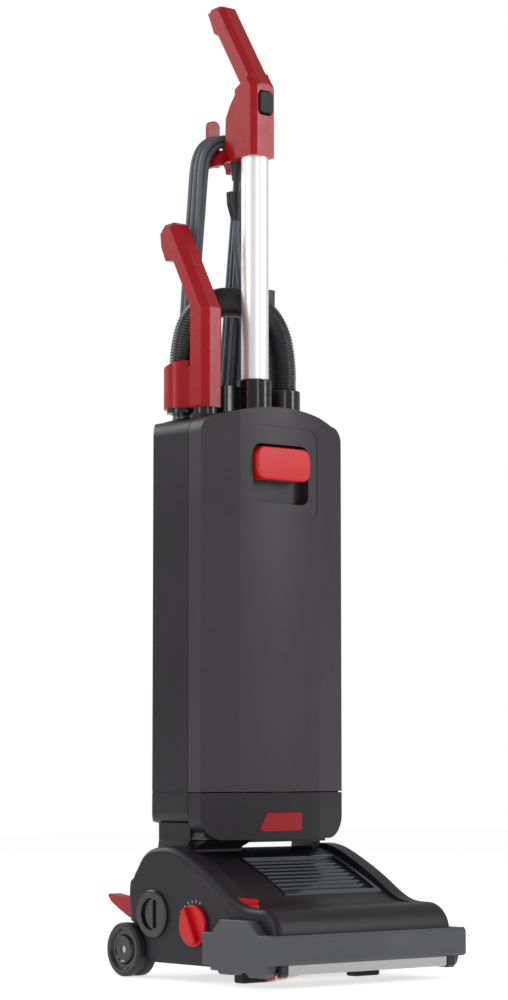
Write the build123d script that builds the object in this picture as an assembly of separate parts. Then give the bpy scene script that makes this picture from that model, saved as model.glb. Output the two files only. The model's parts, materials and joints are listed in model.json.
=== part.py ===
from build123d import *
import os
from math import cos, pi, radians, sin, tan

os.makedirs("parts", exist_ok=True)

# Upright vacuum cleaner for commercial use, in millimetres.
# +Z is up, -Y is the front (the nozzle), +Y is the user's side and +X is the right hand side
# as seen from the front. The shapes are drawn about a working origin on the floor, under the
# middle of the dust housing, and are then moved back by BOX_SHIFT, so that the part's origin is
# the middle of its footprint box.

# ---------------------------------------------------------------- driving dimensions
BOX_SHIFT = 53.25         # working origin to the middle of the footprint, along Y
WALL = 3.0                # moulded wall

HEAD_HALF = 140.0         # half width over the head's sides
BUMPER_HALF = 155.0       # half width over the bumper
NOSE_FRONT = -228.0
SOLE_Z = 16.0             # underside of the sole plate
FLOOR_Z = 19.5            # underside of the head base
PIVOT_Y = 8.0             # recline axis
PIVOT_Z = 105.0

WHEEL_Y = 57.0
WHEEL_R = 33.0
WHEEL_OUT = 150.0         # outer and inner faces of a rear wheel
WHEEL_IN = 119.0

BRUSH_Y = -180.0
BRUSH_Z = 44.0
BRUSH_R = 39.0            # over the bristle tips
GRILLE_END = 102.0         # right end of the air grille's opening
SHROUD_R = 41.5
MOTOR_Y = -75.0           # brush motor shaft
MOTOR_Z = 62.0
BELT_X = 108.0            # middle of the drive belt

KNOB_Y = -73.5
KNOB_Z = 67.0
PORT_Y = 7.7
PORT_Z = 78.0

HOUSING_HALF = 115.6      # half width of the dust housing
HOUSING_FRONT = -68.0
HOUSING_BACK = 60.0
HOUSING_TOP = 706.0
SEAM_Y = -28.0            # joint between the rear housing and the front parts
SEAM_Z = 226.0            # joint between the lower panel and the front cover
SEAM_GAP = 0.9            # open width of the upright seam
HINGE_Y = -68.5           # hinge pin of the front cover
HINGE_Z = 233.0

SUCTION_Y = -10.0         # suction motor shaft
TUBE_Y = -19.0
TUBE_R = 17.5
SLEEVE_Z = 1033.0         # bottom of the handle sleeve

WAND_X = -70.0
WAND_Y = -6.0
CUP_Y = 37.0
CUFF_X = 78.0
CUFF_Y = 20.0
HOSE_R = 19.0
TOOL_X = 88.0
TOOL_Y = 68.0

CORD_R = 4.15
HANK_TILT = 6.56          # degrees from upright
HANK_Y = 74.5
HANK_Z = 781.5
HANK_LONG = 587.0
HANK_OUT = 45.0           # half width over the hank
HANK_IN = 28.0
HANK_DEEP = 32.0
HOOK_R = 25.8             # saddle that the hank hangs on

RUNNING = 0.06            # radial clearance of a shaft in its hole
GAP = 0.5                 # clearance round a sliding or swinging piece


# ---------------------------------------------------------------- drawing helpers
def block(x0, x1, y0, y1, z0, z1):
    """Box given by its limits."""
    middle = Pos((x0 + x1) / 2, (y0 + y1) / 2, (z0 + z1) / 2)
    return middle * Box(x1 - x0, y1 - y0, z1 - z0)


def rod_x(y, z, radius, x0, x1):
    """Round bar along X."""
    return Pos((x0 + x1) / 2, y, z) * Rot(0, 90, 0) * Cylinder(radius, x1 - x0)


def rod_y(x, z, radius, y0, y1):
    """Round bar along Y."""
    return Pos(x, (y0 + y1) / 2, z) * Rot(90, 0, 0) * Cylinder(radius, y1 - y0)


def rod_z(x, y, radius, z0, z1):
    """Upright round bar."""
    return Pos(x, y, (z0 + z1) / 2) * Cylinder(radius, z1 - z0)


def across(face, x0, x1):
    """Prism across the machine from a face drawn as (Y, Z)."""
    return Pos(x0, 0, 0) * extrude(Plane.YZ * face, x1 - x0)


def lengthways(face, y0, y1):
    """Prism along Y from a face drawn as (X, Z)."""
    return Pos(0, y1, 0) * extrude(Plane.XZ * face, y1 - y0)


def outline(*points):
    """Closed face through straight sides."""
    return make_face(Polyline(*points, close=True))


def both_sides(shape):
    """A shape and its mirror image about X = 0."""
    return [shape, mirror(shape, about=Plane.YZ)]


def joined(shapes):
    """One shape from a list of touching shapes."""
    result = shapes[0]
    for shape in shapes[1:]:
        result = result + shape
    return result


def group(shapes):
    """Separate solids that share a node."""
    solids = []
    for shape in shapes:
        solids.extend(shape.solids())
    return Compound(solids)


def edges_near(shape, axis, low, high):
    """Edges whose middle lies between two levels of an axis."""
    return [edge for edge in shape.edges() if low <= getattr(edge.center(), axis) <= high]


# ---------------------------------------------------------------- floor head
DECK_CREST = [(-194, 92), (-163, 92.5), (-118, 112.5), (-66, 137.5), (-28, 152), (4, 156.5), (36, 146),
              (56, 121), (62, 95)]
SHOULDER_CREST = [(-194, 92), (-163, 95), (-120, 117.5), (-66, 145.5), (-28, 159), (4, 159.5), (34, 147),
                  (54, 121), (61, 95)]


def head_face(crest, inset):
    """Side outline of the head: round nose, crest curve and straight underside, smaller by the inset."""
    nose_r = 34 - inset
    points = []
    for before, here, after in zip([(-230, 92)] + crest, crest, crest[1:] + [(62, 60)]):
        run = Vector(after[0] - before[0], after[1] - before[1]).normalized()
        points.append((here[0] + run.Y * inset, here[1] - run.X * inset))
    points[0] = (-194, 58 + nose_r)
    points[-1] = (crest[-1][0] - inset, crest[-1][1])
    front = Line((-194 - nose_r, 22), (-194 - nose_r, 58))
    nose = ThreePointArc((-194 - nose_r, 58),
                         (-194 - 0.706 * nose_r, 58 + 0.709 * nose_r),
                         (-194, 58 + nose_r))
    top = Spline(*points, tangents=[(1, 0), (0, -1)])
    rest = Polyline(points[-1], (59 - inset, 76), (41 - inset, 22), (-194 - nose_r, 22))
    return make_face(front + nose + top + rest)


def deck_face(inset=0.0):
    """Middle of the head: the deck rises to just under the dust housing."""
    return head_face(DECK_CREST, inset)


def shoulder_face(inset=0.0):
    """Sides of the head: the shoulders stand a little above the deck."""
    return head_face(SHOULDER_CREST, inset)


def wheel_wells():
    """Clear space round the rear wheels."""
    return both_sides(rod_x(WHEEL_Y, 33, WHEEL_R + 2.5, -152, -117.5))


def recline_space():
    """Room that the pivot drum and its neck sweep as the upper part leans back."""
    left = rod_x(PIVOT_Y, PIVOT_Z, 46.5, -115.5, -19) + block(-115.5, -19, -24.5, 80, PIVOT_Z, 200)
    left = left + block(-115.5, -19, PIVOT_Y, 80, 74, 200)
    right = rod_x(PIVOT_Y, PIVOT_Z, 31, 97, 115.5) + block(97, 115.5, -17, 80, PIVOT_Z, 200)
    right = right + block(97, 115.5, PIVOT_Y, 80, 78, 200)
    return left + right


def shoulder_prism():
    """Left shoulder with its outer top edge rounded off."""
    prism = across(shoulder_face(), -HEAD_HALF, -114)
    rim = [edge for edge in edges_near(prism, "X", -HEAD_HALF - 0.1, -HEAD_HALF + 0.1)
           if edge.center().Z > 60 and edge.center().Y < 60.5]
    return fillet(rim, 9)


def make_head_cover():
    """Top shell of the head, with the shoulders that hold the pivot."""
    outer = across(deck_face(), -116, 116)
    inner = across(deck_face(WALL), -119, 119)
    for side in both_sides(shoulder_prism()):
        outer = outer + side
    for side in both_sides(across(shoulder_face(WALL), -HEAD_HALF + WALL, -119)):
        inner = inner + side
    shell = outer - inner - block(-150, 150, NOSE_FRONT - 5, 80, 0, 24)
    shell = shell - block(-150, 150, NOSE_FRONT - 5, -224.8, 20, 28.4)
    cheek = across(shoulder_face(1), -119, -116) & block(-130, -100, -64, 90, 30, 170)
    shell = shell - recline_space()
    for side in both_sides(cheek):
        shell = shell + side
    for pin in both_sides(rod_x(PIVOT_Y, PIVOT_Z, 8.5, -122, -112)):
        shell = shell - pin
    for well in wheel_wells() + both_sides(block(-117.5, -99, 34, 64, 20, 47)):
        shell = shell - well
    shell = shell - rod_x(PORT_Y, PORT_Z, 26.5, -142, -130)
    shell = shell - rod_x(KNOB_Y, KNOB_Z, 6 + RUNNING, -142, -130)
    # seam groove between the port and the knob, grille window, pedal slot and latch pocket
    shell = shell - block(-HEAD_HALF - 1, -HEAD_HALF + 0.8, -47.5, -23.5, 69.6, 70.8)
    shell = shell - block(-50, GRILLE_END + 6, -136, -48, 96, 170)
    shell = shell - block(-138, -118.4, 50, 70, 66, 101)
    return shell - latch_prism(GAP)


def latch_prism(extra):
    """Triangle of the brush latch on the left end of the nose, seen from above."""
    face = outline((-132 - extra, -142 + 2 * extra), (-132 - extra, -184 - 2 * extra),
                   (-103 + 2 * extra, -148))
    return Pos(0, 0, 84) * extrude(face, 22)


def make_brush_latch():
    """Red wedge button that frees the brush roll."""
    skin = across(deck_face(-3), -150, -96)
    return latch_prism(0) & skin & block(-140, -98, -192, -138, 90.2, 120)


def make_head_base():
    """Bottom tray with the brush tunnel, the pivot brackets and the wheel brackets."""
    floor = block(-136.4, 136.4, -224.5, 40, FLOOR_Z, FLOOR_Z + WALL)
    sides = both_sides(block(-136.4, -133.4, -224.5, 20, FLOOR_Z, 56))
    tunnel = rod_x(BRUSH_Y, BRUSH_Z, SHROUD_R + 2, -129, 129) & block(-130, 130, -224.5, -130, 21, 90)
    tray = joined([floor] + sides + [tunnel])
    tray = tray - rod_x(BRUSH_Y, BRUSH_Z, SHROUD_R, -126, 126)
    tray = tray - block(-126, 126, -213, -147, 10, 24)
    tray = tray - block(20, 60, -150, -120, 40, 60)
    for bracket in both_sides(block(-135, -119.6, -8, 24, FLOOR_Z, 121)):
        tray = tray + bracket
    for bracket in both_sides(block(-116.5, -100, 36, 62, FLOOR_Z, 46)):
        tray = tray + bracket
    for hole in both_sides(rod_x(PIVOT_Y, PIVOT_Z, 8.02, -124, -119)):
        tray = tray - hole
    for hole in both_sides(rod_x(WHEEL_Y, 33, 5.02, -117, -104)):
        tray = tray - hole
    for x in (-90, 0, 90):
        for y in (-95, 12):
            tray = tray - rod_z(x, y, 2.02, FLOOR_Z - 1, FLOOR_Z + 10)
    for well in wheel_wells():
        tray = tray - well
    for foot in both_sides(block(-111.5, -68.5, -129.5, -110.5, 10, 24)):
        tray = tray - foot
    for bore in both_sides(rod_x(BRUSH_Y, BRUSH_Z, 11, -130, -125)):
        tray = tray - bore
    tray = tray - block(BELT_X - 7, BELT_X + 7, -146, -120, 32, 78)
    tray = tray - rod_x(PORT_Y, PORT_Z, 31, -137, -130)
    return tray


def make_bumper():
    """Soft bumper round the nose, with a raised middle on each side arm."""
    front = outline((-229, 62), (-233, 62), (-236, 58), (-236, 31), (-233, 28), (-229, 28))
    bar = across(front, -BUMPER_HALF, BUMPER_HALF)
    arm = outline((-234, 28), (-234, 62), (-207, 62), (-189, 78), (-137, 78), (-121, 62), (-104, 62),
                  (-104, 24), (-118, 24), (-122, 18), (-132, 18), (-136, 14), (-160, 14), (-166, 18),
                  (-184, 18), (-190, 13), (-216, 13), (-222, 18), (-226, 28))
    side = across(arm, -BUMPER_HALF + 1, -HEAD_HALF - 0.1)
    side = side - across(offset(arm, -4), -BUMPER_HALF + 5, -HEAD_HALF + 5)
    side = chamfer(edges_near(side, "X", -BUMPER_HALF + 0.9, -BUMPER_HALF + 1.1), 1.2)
    return joined([bar] + both_sides(side))


def make_sole_plate():
    """Metal sole with the turned-up front lip."""
    plate = block(-138, 138, -226, -100, SOLE_Z, FLOOR_Z)
    lip = outline((-231, 18), (-229.5, SOLE_Z), (-226, SOLE_Z), (-226, 23), (-228.4, 27.5), (-231, 27.5))
    plate = plate + across(lip, -128, 128)
    plate = plate - block(-126, 126, -213, -147, 10, 24)
    for foot in both_sides(block(-111.5, -68.5, -129.5, -110.5, 10, 24)):
        plate = plate - foot
    return plate


def make_lip_ends():
    """Dark end blocks of the front lip."""
    lip = outline((-232.5, 17), (-229.5, 14), (-226.2, 14), (-226.2, 23), (-228.6, 27.8), (-232.5, 27.8))
    return group(both_sides(across(lip, -139, -128.2)))


def make_glide_carriage():
    """Two front glides on a cross bar; the height knob pushes them down."""
    bar = block(-100, 100, -124, -116, 29.2, 35)
    feet = both_sides(block(-110, -70, -128, -112, 0, 34))
    carriage = joined([bar] + feet)
    return chamfer(edges_near(carriage, "Z", -0.1, 0.1), 1.5)


def make_deck_grille():
    """Slatted air grille in a raised rim, set into the sloping deck."""
    zone = block(-49.6, GRILLE_END + 5.6, -135.6, -48.4, 80, 170)
    mouth = block(-47, GRILLE_END, -130, -50.8, 70, 180)

    def layer(top, low):
        return (across(deck_face(top), -60, 115) - across(deck_face(low), -60, 115)) & zone

    rim = layer(-1.5, 8.4) - mouth
    tray = layer(6.4, 8.4)
    slats = layer(2.0, 6.5)
    pieces = [rim, tray]
    for index in range(9):
        y = -124 + 8.6 * index
        pieces.append(slats & block(-48, GRILLE_END + 1, y - 1.5, y + 1.5, 90, 170))
    return joined(pieces)


def make_port_collar():
    """Clean-out port on the left side."""
    flange = rod_x(PORT_Y, PORT_Z, 29.5, -144, -140.1)
    flange = fillet(edges_near(flange, "X", -144.1, -143.9), 2.5)
    pipe = rod_x(PORT_Y, PORT_Z, 26, -141, -136)
    bore = rod_x(PORT_Y, PORT_Z, 19.4, -145, -130)
    return flange + pipe - bore


def make_port_cap():
    """Quarter-turn cap in the port, with a finger bar."""
    disc = rod_x(PORT_Y, PORT_Z, 19.0, -140.5, -136.5)
    bar = block(-143.2, -140.4, PORT_Y - 3, PORT_Y + 3, PORT_Z - 17, PORT_Z + 17)
    return disc + bar


def make_height_knob():
    """Height knob with a slanted grip bar, its spindle and its cam."""
    disc = rod_x(KNOB_Y, KNOB_Z, 24.8, -145.5, -140.4)
    disc = fillet(edges_near(disc, "X", -145.6, -145.4), 2)
    grip = block(-152.5, -145, -4.6, 4.6, -22.5, 22.5)
    grip = fillet(edges_near(grip, "X", -152.6, -152.4), 2)
    grip = Pos(0, KNOB_Y, KNOB_Z) * Rot(-28, 0, 0) * grip
    spindle = rod_x(KNOB_Y, KNOB_Z, 6, -141, -128)
    cam = rod_x(KNOB_Y, KNOB_Z, 11, -132.5, -127)
    return joined([disc, grip, spindle, cam])


def make_foot_pedal():
    """Pedal that lets the upper part lean back, on the left behind the shoulder."""
    side = outline((40, 78), (40, 90), (50, 90), (58, 97.5), (80, 97), (101, 99.5), (103.5, 97.5), (97, 90), (82, 82),
                   (66, 74.5), (58, 71.5))
    pedal = across(side, -137, -119.6)
    pedal = pedal - rod_x(51, 85, 3 + RUNNING, -140, -110)
    hollow = outline((63, 92.5), (80, 92.5), (93, 94), (80, 84.5), (64, 78))
    return pedal - across(hollow, -126, -119)


def make_head_fasteners():
    """Recline pivot pins, pedal pin, wheel axles and the screws under the head."""
    pins = both_sides(rod_x(PIVOT_Y, PIVOT_Z, 8, -124, -104))
    axles = both_sides(rod_x(WHEEL_Y, 33, 5, -147, -104))
    pedal = rod_x(51, 85, 3, -136.8, -119.2)
    screws = []
    for x in (-90, 0, 90):
        for y in (-95, 12):
            screws.append(rod_z(x, y, 4, FLOOR_Z - 2, FLOOR_Z) + rod_z(x, y, 2, FLOOR_Z - 0.1, FLOOR_Z + 9))
    return group(pins + axles + [pedal] + screws)


def make_pedal_spring():
    """Coil spring over the pedal's front arm, drawn as a plain sleeve."""
    return rod_z(-128, 45, 4, 92.4, 120) - rod_z(-128, 45, 2.8, 90, 121)


def make_brush_motor():
    """Motor of the brush roll, across the head."""
    can = rod_x(MOTOR_Y, MOTOR_Z, 26, -20, 92)
    bell = rod_x(MOTOR_Y, MOTOR_Z, 20, -32, -20)
    nose = rod_x(MOTOR_Y, MOTOR_Z, 12, 92, 96)
    foot = block(-10, 80, MOTOR_Y - 16, MOTOR_Y + 16, FLOOR_Z + WALL, MOTOR_Z - 18)
    motor = joined([can, bell, nose, foot])
    return motor - rod_x(MOTOR_Y, MOTOR_Z, 4 + RUNNING, 60, 100)


def make_motor_pulley():
    shaft = rod_x(MOTOR_Y, MOTOR_Z, 4, 62, 116)
    return shaft + rod_x(MOTOR_Y, MOTOR_Z, 8, BELT_X - 5, BELT_X + 5)


def make_brush_core():
    """Brush roll body with its journals and its belt groove."""
    core = rod_x(BRUSH_Y, BRUSH_Z, 20, -122, 122) + rod_x(BRUSH_Y, BRUSH_Z, 6, -129, 129)
    groove = rod_x(BRUSH_Y, BRUSH_Z, 30, BELT_X - 6, BELT_X + 6) - rod_x(BRUSH_Y, BRUSH_Z, 16, 90, 125)
    return core - groove


def make_bristle_rows():
    """Two rows of bristles, half a turn apart, in steps that follow a shallow helix."""
    rows = []
    steps = 8
    pitch = 26.0
    for start in (0, 180):
        for index in range(steps):
            x = -118 + pitch * index
            tuft = Pos(x + pitch / 2 - 1, 0, (BRUSH_R + 18.5) / 2) * Box(pitch - 4, 4.5, BRUSH_R - 18.5)
            rows.append(Pos(0, BRUSH_Y, BRUSH_Z) * Rot(start + 12 * index, 0, 0) * tuft)
    core = rod_x(BRUSH_Y, BRUSH_Z, 20.02, -122, 122)
    return group([row - core for row in rows])


def make_brush_bearings():
    """End bearings of the brush roll."""
    ring = rod_x(BRUSH_Y, BRUSH_Z, 10.98, -129, -126.2) - rod_x(BRUSH_Y, BRUSH_Z, 6 + RUNNING, -130, -125)
    return group(both_sides(ring))


def make_drive_belt():
    """Flat belt from the motor pulley to the brush roll."""
    run = ((MOTOR_Y - BRUSH_Y) ** 2 + (MOTOR_Z - BRUSH_Z) ** 2) ** 0.5

    def loop(r_brush, r_motor):
        lean = (r_brush - r_motor) / run
        side = cos(lean)
        top = [(r_brush * lean, r_brush * side), (run + r_motor * lean, r_motor * side)]
        low = [(run + r_motor * lean, -r_motor * side), (r_brush * lean, -r_brush * side)]
        body = make_face(Polyline(*top, *low, close=True))
        return body + Circle(r_brush) + Pos(run, 0) * Circle(r_motor)

    face = loop(18.6, 10.4) - loop(16.4, 8.4)
    reach = Vector(MOTOR_Y - BRUSH_Y, MOTOR_Z - BRUSH_Z, 0)
    angle = reach.get_signed_angle(Vector(1, 0, 0), Vector(0, 0, -1))
    belt = across(Rot(0, 0, angle) * face, -4, 4)
    return Pos(BELT_X, BRUSH_Y, BRUSH_Z) * belt


def make_suction_neck():
    """Duct from the brush tunnel back to the pivot drum."""
    runner = block(22, 58, -137, -118, 42, 58)
    duct = block(-60, 58, -118, -106, 42, 58)
    back = block(-60, -36, -106, -40, 42, 58)
    hollow = block(25, 55, -140, -110, 44.5, 55.5) + block(-57, 55, -115.5, -108.5, 44.5, 55.5)
    hollow = hollow + block(-57, -39, -110, -30, 44.5, 55.5)
    return runner + duct + back - hollow


def make_wheel(side):
    """Moulded wheel body with a dished face."""
    profile = outline((-WHEEL_OUT + 1.5, 5 + RUNNING), (-WHEEL_OUT + 1.5, 13), (-WHEEL_OUT, 15), (-WHEEL_OUT, 17),
                      (-WHEEL_OUT + 3.5, 19), (-WHEEL_OUT + 3.5, 23), (-WHEEL_OUT, 25.5), (-WHEEL_OUT, 29),
                      (-WHEEL_IN, 29), (-WHEEL_IN, 24), (-WHEEL_IN - 4, 22), (-WHEEL_IN - 4, 12),
                      (-WHEEL_IN, 10), (-WHEEL_IN, 5 + RUNNING))
    wheel = Pos(0, WHEEL_Y, WHEEL_R) * revolve(profile, Axis.X)
    return wheel if side < 0 else mirror(wheel, about=Plane.YZ)


def make_tyre(side):
    """Twin-tread tyre round the wheel body."""
    out, inn = -WHEEL_OUT, -WHEEL_IN
    profile = outline((out, 29), (out, 30.5), (out + 2.5, WHEEL_R), (out + 10.5, WHEEL_R), (out + 12.5, 31),
                      (out + 12.5, 30.3), (inn - 12.5, 30.3), (inn - 12.5, 31), (inn - 10.5, WHEEL_R),
                      (inn - 2.5, WHEEL_R), (inn, 30.5), (inn, 29))
    tyre = Pos(0, WHEEL_Y, WHEEL_R) * revolve(profile, Axis.X)
    return tyre if side < 0 else mirror(tyre, about=Plane.YZ)


# ---------------------------------------------------------------- dust housing
def plan_face(inset):
    """Plan of the housing: crowned front between two chamfers, and tapered rear corners."""
    half = HOUSING_HALF - inset
    front = HOUSING_FRONT + inset
    back = HOUSING_BACK - inset
    crown = ThreePointArc((-65, front), (0, front - 5), (65, front))
    side = Polyline((65, front), (half, -53 + 0.7 * inset), (half, 42), (97 - 0.5 * inset, back),
                    (-97 + 0.5 * inset, back), (-half, 42), (-half, -53 + 0.7 * inset), (-65, front))
    return make_face(crown + side)


def side_face(inset, bottom, bottom_r):
    """Side view of the housing: round rear corners and a softer front top edge."""
    low, high = bottom + inset, HOUSING_TOP + 4 - inset
    front, back = HOUSING_FRONT - 12 + inset, HOUSING_BACK - inset
    face = outline((front, low), (back, low), (back, high), (front, high))
    corners = face.vertices().sort_by(Axis.X)
    rear = corners[2:].sort_by(Axis.Y)
    face = fillet(rear[1], 40 - inset)
    rear = face.vertices().group_by(Axis.X)[-1].sort_by(Axis.Y)
    return fillet(rear[0], bottom_r - inset)


def front_face(inset, bottom, bottom_r):
    """Front view of the housing: crowned top, round corners."""
    half = HOUSING_HALF - inset
    low, high = bottom + inset, HOUSING_TOP - inset
    shoulder = 690 - inset
    radius = 20 - inset
    foot = bottom_r - inset
    turn = 0.2929
    top = ThreePointArc((-half + radius, shoulder), (0, high), (half - radius, shoulder))
    right_top = ThreePointArc((half - radius, shoulder), (half - turn * radius, shoulder - turn * radius),
                              (half, shoulder - radius))
    right = Line((half, shoulder - radius), (half, low + foot))
    right_low = ThreePointArc((half, low + foot), (half - turn * foot, low + turn * foot),
                              (half - foot, low))
    base = Line((half - foot, low), (-half + foot, low))
    left_low = ThreePointArc((-half + foot, low), (-half + turn * foot, low + turn * foot),
                             (-half, low + foot))
    left = Line((-half, low + foot), (-half, shoulder - radius))
    left_top = ThreePointArc((-half, shoulder - radius), (-half + turn * radius, shoulder - turn * radius),
                             (-half + radius, shoulder))
    return make_face(top + right_top + right + right_low + base + left_low + left + left_top)


def housing_form(inset, bottom, corner, rear_corner):
    """Solid form of the housing, smaller all round by the inset."""
    plan = Pos(0, 0, 150) * extrude(plan_face(inset), 600)
    side = across(side_face(inset, bottom, rear_corner), -130, 130)
    front = lengthways(front_face(inset, bottom, corner), -110, 90)
    return plan & side & front


def upper_form(inset):
    return housing_form(inset, 187, 14, 24)


def lower_form(inset):
    return housing_form(inset, 168, 30, 24)


def make_rear_housing():
    """Rear shell of the dust housing with its plinth, wand socket and outlet slots."""
    shell = upper_form(0) - upper_form(WALL)
    shell = shell & block(-130, 130, SEAM_Y, 90, 100, 800)
    seam_band = block(-130, 130, SEAM_Y - 1, 50, SEAM_Z - 0.7, SEAM_Z + 0.7)
    shell = shell - ((upper_form(0) - upper_form(0.8)) & seam_band)
    plinth = block(-111, 97, SEAM_Y, 34, 167, 188.5) - block(-108, 94, SEAM_Y - 1, 31, 170, 200)
    shell = shell + plinth
    socket = rod_z(WAND_X, WAND_Y, 19.5, 637, 698)
    shell = shell + (socket & block(-130, 130, SEAM_Y, 90, 100, 800))
    shell = shell - rod_z(0, TUBE_Y, 21.3, 600, 760)
    shell = shell - rod_z(WAND_X, WAND_Y, 16.3, 639.5, 760)
    shell = shell - rod_z(CUFF_X, CUFF_Y, 20, 600, 760)
    # the hinge lugs reach forward under the front cover
    lug = block(-45, -35, -60.6, SEAM_Y + 3, 214, 222) + block(-45, -12, -60.6, -56.4, 214, 222)
    lug = lug + block(-20, -12, -60.6, -58.8, 214, 238) + block(-20, -12, -69.3, -58.8, HINGE_Z - 0.8, 238)
    for arm in both_sides(lug):
        shell = shell + arm
    shelf = block(-100, 100, SEAM_Y, 56, 222, 225)
    shell = shell + shelf - rod_z(0, SUCTION_Y, 30, 210, 240)
    shell = shell - rod_x(HINGE_Y, HINGE_Z, 1.5, -50, 50)
    for index in range(8):
        z = 254 + 9 * index
        shell = shell - block(-66, 66, 50, 70, z, z + 4)
    return shell


def make_lower_panel():
    """Front panel under the cover, with the opening for the red release tab."""
    shell = (lower_form(0) - lower_form(WALL)) & block(-130, 130, -90, SEAM_Y - SEAM_GAP, 100, SEAM_Z - 0.7)
    # inner fins close the view through the seam at the sides
    side_fin = block(-112.2, -109.4, -50, SEAM_Y - 2, 212, 236) + block(-113.2, -109.4, -50, SEAM_Y - 2, 212, 224)
    for fin in both_sides(side_fin):
        shell = shell + fin
    return shell - tab_prism(0.5)


def make_front_cover():
    """Door of the dust housing, with the latch pocket and the hinge knuckles."""
    shell = (upper_form(0) - upper_form(WALL)) & block(-130, 130, -90, SEAM_Y - SEAM_GAP, SEAM_Z + 0.7, 800)
    shell = shell - rod_z(0, TUBE_Y, 21.9, 640, 760)
    panel = fillet(block(-62, 62, -90, -60, 566, 682).edges().filter_by(Axis.Y), 18)
    shell = shell - (panel & (upper_form(0) - upper_form(0.7)))
    pocket = block(-48.5, 48.5, -71, -52, 582, 662)
    hollow = block(-45.5, 45.5, -90, -55, 585, 659)
    hollow = fillet(hollow.edges().filter_by(Axis.Y), 12)
    shell = shell + (pocket & upper_form(1)) - hollow - rod_x(-63, 648, 1.52, -47.5, 47.5)
    for x in (-26, 26):
        shell = shell + (rod_x(HINGE_Y, HINGE_Z, 4, x - 6, x + 6) & upper_form(1))
    shell = shell - rod_x(HINGE_Y, HINGE_Z, 1.5 + RUNNING, -33.2, 33.2)
    return shell


def make_cover_hinge_pin():
    return rod_x(HINGE_Y, HINGE_Z, 1.5, -33, 33)


def make_latch_button():
    """Pull latch of the cover: a rounded red bar in the pocket."""
    bar = block(-43.8, 43.8, -77, -60, 614, 655)
    bar = fillet(bar.edges().filter_by(Axis.Y), 13)
    bar = fillet(edges_near(bar, "Y", -77.1, -76.9), 2.5)
    return bar - rod_x(-63, 648, 1.5 + RUNNING, -50, 50)


def make_latch_pin():
    return rod_x(-63, 648, 1.5, -47.2, 47.2)


def tab_prism(extra):
    face = outline((-38 - extra, 178 - extra), (32 + extra, 178 - extra), (32 + extra, 201 + extra),
                   (-25 - extra, 201 + extra))
    face = fillet(face.vertices(), 4)
    return lengthways(face, -90, -62)


def make_release_tab():
    """Red push tab in the lower panel."""
    front = tab_prism(0) & lower_form(-0.6)
    return front - block(-60, 60, -66, -40, 150, 220)


def make_pivot_drum():
    """Swivel casting under the housing: a wide left drum, a narrow right arm and their necks."""
    drum = rod_x(PIVOT_Y, PIVOT_Z, 44, -113, -22)
    neck = outline((-22, PIVOT_Z), (-23.5, 166.8), (34, 166.8), (44, PIVOT_Z + 10))
    drum = drum + across(neck, -111, -24)
    ramp = outline((-50, 166.8), (-22, 166.8), (-22, 155.5))
    drum = drum + across(ramp, -104, -30) - rod_x(PIVOT_Y, PIVOT_Z, 30, -60, 0)
    right = rod_x(PIVOT_Y, PIVOT_Z, 28, 100, 113)
    arm = outline((-14, PIVOT_Z), (-14, 166.8), (26, 166.8), (34, PIVOT_Z))
    right = right + across(arm, 100, 113)
    yoke = block(-111, 113, -24, 30, 163.5, 166.8)
    casting = drum + right + yoke
    for hole in both_sides(rod_x(PIVOT_Y, PIVOT_Z, 8 + RUNNING, -120, -102)):
        casting = casting - hole
    return casting


def make_corner_fairing():
    """Ridged fairing at the left front corner, over the swivel casting."""
    base = outline((-110, -28.5), (-110, -52), (-46, -60), (-46, -28.5))
    tip = outline((-103, -28.5), (-103, -48), (-94, -50), (-94, -28.5))
    return loft([Pos(0, 0, 168.5) * base, Pos(0, 0, 192) * tip]) - lower_form(-0.1)


def make_motor_deck():
    """Floor of the bag chamber."""
    deck = upper_form(WALL + 0.3) & block(-130, 130, SEAM_Y + 1, 90, 345, 349)
    return deck - rod_z(0, SUCTION_Y, 34, 340, 352)


def make_vacuum_motor():
    """Suction motor: field case below, fan case above."""
    shaft_hole = rod_z(0, SUCTION_Y, 4 + RUNNING, 280, 310)
    can = rod_z(0, SUCTION_Y, 43, 229, 300) - shaft_hole
    case = rod_z(0, SUCTION_Y, 50, 300, 337) - rod_z(0, SUCTION_Y, 47, 303, 334)
    case = case - rod_z(0, SUCTION_Y, 18, 330, 340) - shaft_hole
    feet = block(-46, 46, SUCTION_Y - 18, SUCTION_Y + 20, 225.1, 232)
    return can + case + (feet - rod_z(0, SUCTION_Y, 30, 220, 229))


def make_motor_fan():
    """Fan wheel with slanted vanes on the motor shaft."""
    disc = rod_z(0, SUCTION_Y, 45, 305, 308) + rod_z(0, SUCTION_Y, 4, 284, 330)
    vanes = []
    for index in range(9):
        vane = Pos(27, 0, 318) * Rot(0, 0, 35) * Box(32, 2, 21)
        vanes.append(Pos(0, SUCTION_Y, 0) * Rot(0, 0, 40 * index) * vane)
    return joined([disc] + vanes)


def make_motor_seal():
    return rod_z(0, SUCTION_Y, 49, 337, 345) - rod_z(0, SUCTION_Y, 38, 330, 350)


def make_exhaust_filter():
    """Pleated filter behind the outlet slots."""
    return block(-72, 72, 43, 56.5, 248, 332)


def make_dust_bag():
    bag = block(-84, 84, -44, 32, 356, 630)
    return fillet(bag.edges(), 26)


def make_bag_collar():
    """Card collar that the bag hangs from, round the inlet duct."""
    plate = block(40, 104, -10, 48, 632, 636)
    plate = fillet(plate.edges().filter_by(Axis.Z), 8)
    return plate - rod_z(CUFF_X, CUFF_Y, 15, 620, 640)


# ---------------------------------------------------------------- tube, handle and hooks
def make_handle_tube():
    return rod_z(0, TUBE_Y, TUBE_R, 655, 1072) - rod_z(0, TUBE_Y, TUBE_R - 1.6, 650, 1080)


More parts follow.
